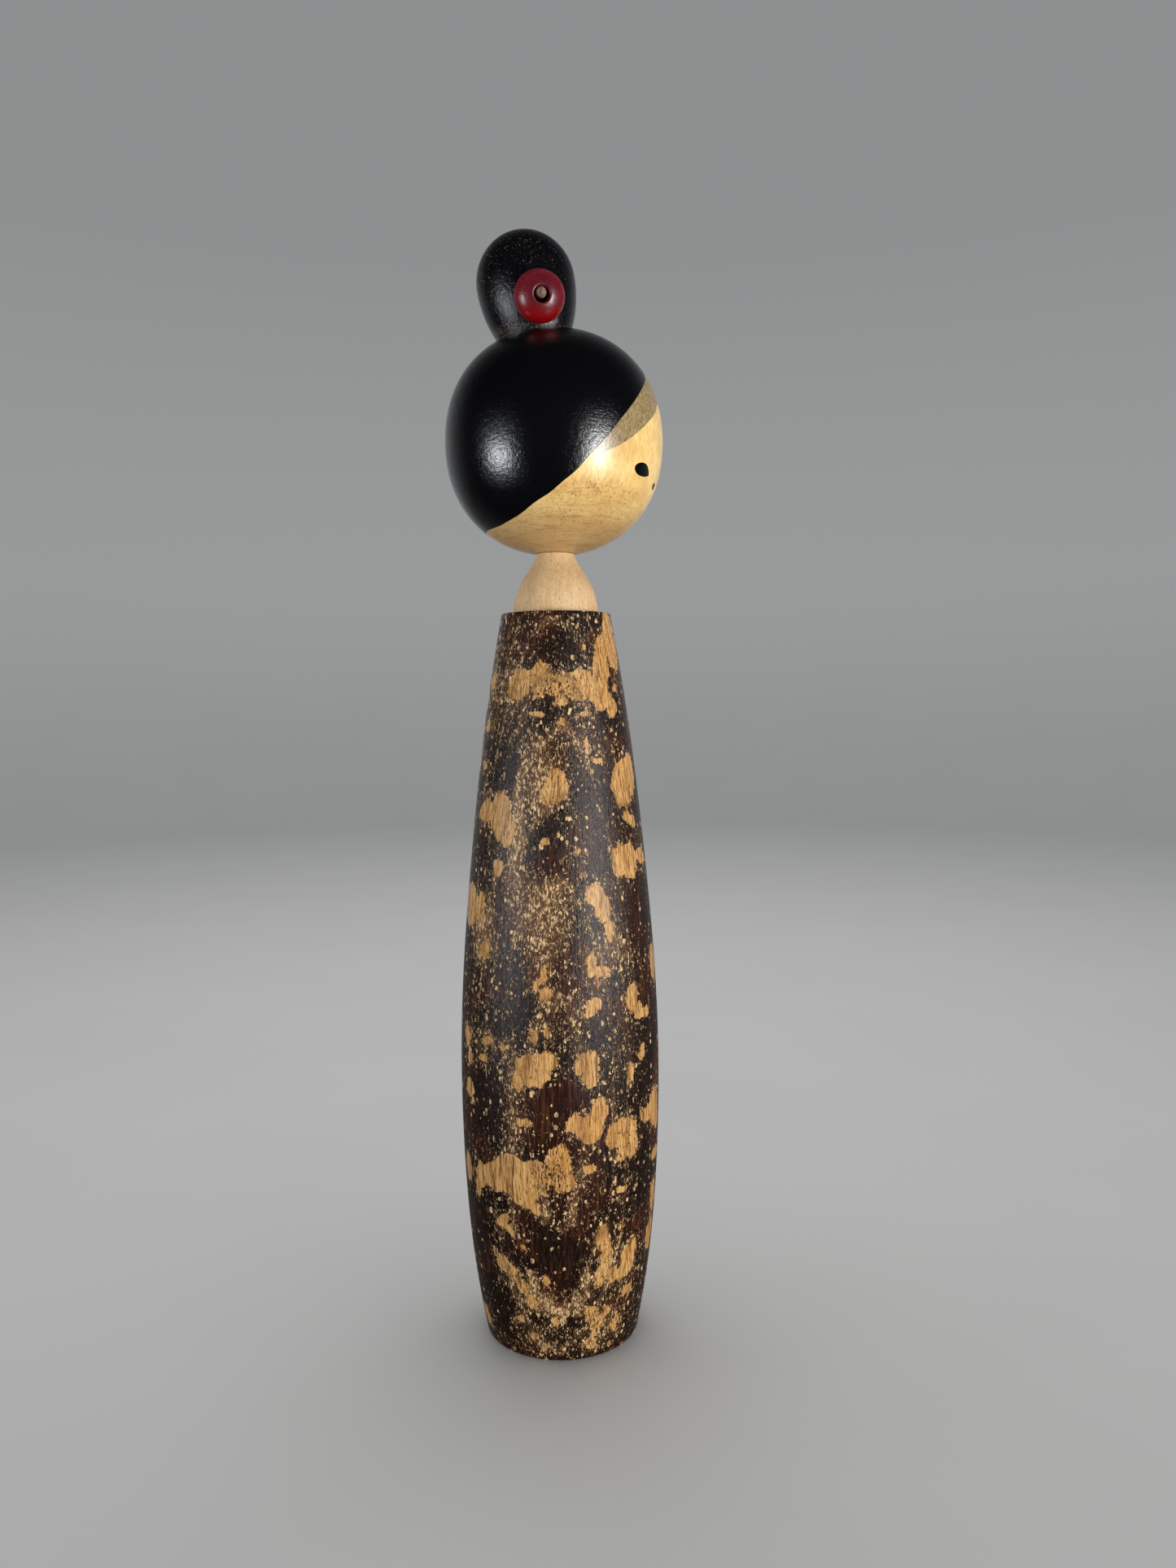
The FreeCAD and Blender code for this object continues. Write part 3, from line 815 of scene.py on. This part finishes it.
class HeadSurface:
    """The CAD head's outline as a surface over turn and level, both in degrees from its centre."""

    def __init__(self):
        self.section = half_section(node_points("head"))
        self.outline = outer_outline(self.section)
        widest = self.outline[np.argmax(self.outline[:, 0])]
        self.centre = widest[1]
        self.foot = self.outline[0, 1]
        rise = self.outline[:, 1] - self.centre
        self.levels = np.degrees(np.arctan2(rise, self.outline[:, 0]))
        self.reaches = np.hypot(self.outline[:, 0], rise)

    def level_of(self, points):
        radius = np.hypot(points[:, 0], points[:, 1])
        return np.degrees(np.arctan2(points[:, 2] - self.centre, radius))

    def place(self, turn, level, lift):
        """The point at a turn from the middle of the face and a level, lifted off the surface."""
        reach = np.interp(level, self.levels, self.reaches) + lift
        angle = np.radians(SHOWN_SIDE + FACE_TURN + turn)
        flat = reach * np.cos(np.radians(level))
        up = self.centre + reach * np.sin(np.radians(level))
        return np.stack(np.broadcast_arrays(flat * np.cos(angle), flat * np.sin(angle), up), -1)


def head_values(points, head):
    """How far each point is into the fringe, in millimetres, and how marked it is."""
    turn = turn_of(points, SHOWN_SIDE + FACE_TURN)
    level = head.level_of(points)
    radius = np.maximum(np.hypot(points[:, 0], points[:, 1]), 1.0)
    degree = math.radians(1) * head.outline[:, 0].max()
    above = level - smooth_curve(np.abs(turn), FRINGE_EDGE)
    return {
        "fringe": above * degree * math.cos(math.radians(FRINGE_LEAN)),
        "smudge": zone_value(turn, level, radius, SMUDGES, 0.0, degree),
        "level": level,
    }


def make_head(head, material):
    """The turned head, a paint film's depth below the CAD head, with the bore for the neck's dowel."""
    radius, ceiling = bore_of(head.section, head.foot)
    outline = respaced(head.outline, HEAD_STEP)
    side = outline[outline[:, 1] > head.foot + 1e-3]
    inward = side - [0, head.centre]
    side = side - inward / np.hypot(*inward.T)[:, None] * WOOD_BELOW
    side[-1, 0] = 0
    bore = [(0, ceiling), (radius, ceiling), (radius, head.foot), (head.outline[1, 0], head.foot)]
    points, faces = turned(np.vstack((bore, side)), HEAD_COLUMNS)
    values = head_values(points, head)
    piece = add_piece("turned_head", points, faces, "head", material, values)
    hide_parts("head")


def add_film(name, head, rings, apex, material):
    """A thin coat of paint on the head, from rings of (turn, level, lift) in to one last point."""
    rings = np.array(rings, float)
    count, columns = rings.shape[:2]
    flat = np.vstack((rings.reshape(-1, 3), [apex]))
    points = head.place(flat[:, 0], flat[:, 1], flat[:, 2])
    faces = ring_faces(count, columns, None, count * columns)
    piece = add_piece(name, points, faces, "head", material)
    shell = piece.modifiers.new("thickness", "SOLIDIFY")
    shell.thickness = FILM_THICKNESS * MM
    shell.offset = -1
    return piece


def make_hair(head, material):
    """The hair's lacquer, from the hairline up to the crown, with a softly rounded edge."""
    turns = np.arange(HEAD_COLUMNS) * FULL_TURN / HEAD_COLUMNS - FULL_TURN / 2
    hairline = smooth_curve(np.abs(turns), HAIRLINE)
    degree = math.radians(1) * head.outline[:, 0].max()
    rings = []
    for share in (0.0, 0.08, 0.25, 0.55, 1.0):
        lift = -(WOOD_BELOW + FILM_ROOT) * (1 - math.sqrt(1 - (1 - share) ** 2))
        level = hairline + share * FILM_EDGE / degree
        rings.append(np.stack((turns, level, np.full_like(turns, lift)), -1))
    start = rings[-1][:, 1]
    rows = round(float(np.max(90 - start)) * degree / HEAD_STEP)
    for row in range(1, rows):
        level = start + (90 - start) * row / rows
        rings.append(np.stack((turns, level, np.zeros_like(turns)), -1))
    add_film("hair_lacquer", head, rings, (0, 90, 0), material)


def closed_curve(points, count):
    """A smooth closed curve through a few points."""
    points = np.array(points, float)
    marks = np.arange(count) * len(points) / count
    i = marks.astype(int)
    t = (marks - i)[:, None]
    a, b, c, d = (points[(i + k) % len(points)] for k in (-1, 0, 1, 2))
    return b + 0.5 * t * (c - a + t * (2 * a - 5 * b + 4 * c - d + t * (3 * (b - c) + d - a)))


def add_drop(name, head, outline, thickness, material):
    """A brush mark that stands off the head a little, thickest in its middle."""
    middle = outline.mean(0)
    rings = []
    for share in (1.0, 0.97, 0.9, 0.78, 0.6, 0.35):
        lift = (thickness + FILM_ROOT) * math.sqrt(1 - share**2) - WOOD_BELOW - FILM_ROOT
        edge = middle + (outline - middle) * share
        rings.append(np.column_stack((edge, np.full(len(edge), lift))))
    return add_film(name, head, rings, (*middle, thickness - WOOD_BELOW), material)


def make_face(head, black, red):
    """Two eyes, the left one the right one's mirror, and a mouth."""
    eye = closed_curve(EYE_OUTLINE, EYE_POINTS)
    add_drop("right_eye", head, eye[::-1], EYE_THICKNESS, black)
    add_drop("left_eye", head, eye * [-1, 1], EYE_THICKNESS, black)
    around = np.radians(np.arange(MOUTH_POINTS) * FULL_TURN / MOUTH_POINTS)
    mouth = np.column_stack((np.cos(around), np.sin(around))) * MOUTH_HALF_SIZE + MOUTH
    add_drop("mouth", head, mouth, MOUTH_THICKNESS, red)


def finish_node(name, material):
    """Gives a CAD node, whose shape stays, its own material."""
    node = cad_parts[name]
    if not node.material_slots:
        node.data.materials.append(material)
    for slot in node.material_slots:
        slot.material = material


# ---------------------------------------------------------------- stage, light and camera


def view_basis():
    """The camera's right, up and forward directions."""
    ahead = math.radians(SHOWN_SIDE + 180)
    away = Vector((math.cos(ahead), math.sin(ahead), 0))
    level_right = Vector((math.sin(ahead), -math.cos(ahead), 0))
    down = math.radians(LOOK_DOWN)
    forward = away * math.cos(down) - Vector((0, 0, math.sin(down)))
    level_up = level_right.cross(forward)
    roll = math.radians(CAMERA_ROLL)
    right = level_right * math.cos(roll) + level_up * math.sin(roll)
    return right, right.cross(forward), forward


def look_matrix(place, right, up, forward):
    """The matrix that puts a camera or a light at a place, facing forward."""
    columns = (right, up, -forward)
    turn = Matrix([[column[row] for column in columns] for row in range(3)])
    return Matrix.Translation(place) @ turn.to_4x4()


def make_camera():
    """The camera at EYE, looking a little down at the doll."""
    data = bpy.data.cameras.new("camera")
    data.lens = LENS
    data.sensor_width = SENSOR_WIDTH
    data.clip_start = NEAREST_SEEN
    camera = bpy.data.objects.new("camera", data)
    bpy.context.scene.collection.objects.link(camera)
    camera.matrix_world = look_matrix(Vector(EYE) * MM, *view_basis())
    bpy.context.scene.camera = camera


def stage_point(right, away, up):
    """A place in metres, given from the doll's foot as the camera sees it."""
    ahead = math.radians(SHOWN_SIDE + 180)
    x = away * math.cos(ahead) + right * math.sin(ahead)
    y = away * math.sin(ahead) - right * math.cos(ahead)
    return Vector((x, y, up))


def all_but(piece):
    """A light-linking group: a light that has it shines on everything but the piece."""
    group = bpy.data.collections.new("all_but_" + piece.name)
    group.objects.link(piece)
    group.collection_objects[0].light_linking.link_state = "EXCLUDE"
    return group


def add_window(name, right, away, low, high, width, watts, tint, receivers):
    """A soft upright light that faces the doll."""
    data = bpy.data.lights.new(name, "AREA")
    data.shape = "RECTANGLE"
    data.size = width
    data.size_y = high - low
    data.energy = watts
    data.color = tint
    light = bpy.data.objects.new(name, data)
    bpy.context.scene.collection.objects.link(light)
    place = stage_point(right, away, (low + high) / 2)
    facing = Vector((-place.x, -place.y, 0)).normalized()
    sideways = facing.cross(Vector((0, 0, 1)))
    light.matrix_world = look_matrix(place, sideways, Vector((0, 0, 1)), facing)
    light.visible_camera = False
    light.light_linking.receiver_collection = receivers


def add_ceiling(away, height, size, watts):
    """A soft light above the doll that nothing mirrors."""
    data = bpy.data.lights.new("ceiling", "AREA")
    data.size = size
    data.energy = watts
    light = bpy.data.objects.new("ceiling", data)
    bpy.context.scene.collection.objects.link(light)
    light.location = stage_point(0.0, away, height)
    light.visible_camera = False
    light.visible_glossy = False


def make_world():
    """Pale all round. What the surfaces reflect is pale behind the doll and dim on its other sides."""
    world = bpy.data.worlds.new("studio")
    bpy.context.scene.world = world
    world.use_nodes = True
    n = Nodes(world.node_tree)
    direction = n.node("ShaderNodeTexCoord", {}).outputs["Generated"]
    away = n.along(direction, stage_point(0, 1, 0))
    up = n.along(direction, Vector((0, 0, 1)))
    behind = n.ramp(away, 0.2, 1.0, 0.015, 0.4)
    above_floor = n.ramp(up, -0.35, 0.05, 0.3, 1.0)
    below_ceiling = n.ramp(up, 0.15, 0.7, 1.0, 0.35)
    reflected = n.times(behind, n.times(above_floor, below_ceiling))
    glossy = n.node("ShaderNodeLightPath", {}).outputs["Is Glossy Ray"]
    strength = n.node("ShaderNodeMix", {0: glossy, 2: WORLD_STRENGTH, 3: reflected}).outputs[0]
    background = n.tree.nodes["Background"]
    n.feed(background.inputs["Color"], colour(0.95, 0.98, 1.0))
    n.feed(background.inputs["Strength"], strength)


def stage_outline():
    """(radius, height) of the floor's rings, the sweep and the wall's top, in metres."""
    outline = [(radius, 0.0) for radius in FLOOR_RINGS]
    for step in range(1, SWEEP_STEPS + 1):
        angle = math.radians(90 * step / SWEEP_STEPS)
        radius = FLOOR_RINGS[-1] + SWEEP_RADIUS * math.sin(angle)
        outline.append((radius, SWEEP_RADIUS * (1 - math.cos(angle))))
    outline.append((FLOOR_RINGS[-1] + SWEEP_RADIUS, WALL_TOP))
    return outline


def make_stage(material):
    """A round floor that sweeps up into a wall. Only the camera sees it, so the world lights the doll."""
    outline = stage_outline()
    points = []
    for radius, height in outline:
        for column in range(STAGE_COLUMNS):
            angle = 2 * math.pi * column / STAGE_COLUMNS
            points.append((radius * math.cos(angle), radius * math.sin(angle), height))
    points.append((0.0, 0.0, 0.0))
    mesh = bpy.data.meshes.new("stage")
    mesh.from_pydata(points, [], ring_faces(len(outline), STAGE_COLUMNS, len(points) - 1))
    mesh.materials.append(material)
    mesh.shade_smooth()
    stage = bpy.data.objects.new("stage", mesh)
    bpy.context.scene.collection.objects.link(stage)
    stage.visible_glossy = False
    stage.visible_diffuse = False
    stage.visible_shadow = False
    return stage


# ---------------------------------------------------------------- the scene

make_body(stained_wood())
head_surface = HeadSurface()
make_head(head_surface, skin_wood())
lacquer = black_lacquer()
make_hair(head_surface, lacquer)
make_face(head_surface, lacquer, mouth_red())

finish_node("neck", bare_wood("neck_wood", colour(0.67, 0.45, 0.23), colour(0.53, 0.335, 0.16)))
dowel_wood = bare_wood("dowel_wood", colour(0.60, 0.42, 0.22), colour(0.45, 0.29, 0.13))
finish_node("neck_dowel", dowel_wood)
finish_node("bun_dowel", dowel_wood)
finish_node("bun", worn_black())
finish_node("ornament_bead", red_lacquer())
finish_node("ornament_peg", end_grain())

doll_only = all_but(make_stage(pale_stage()))
make_world()
for name, window in WINDOWS.items():
    add_window(name, *window, doll_only)
add_ceiling(*CEILING)
make_camera()
bpy.context.scene.view_settings.view_transform = "Standard"
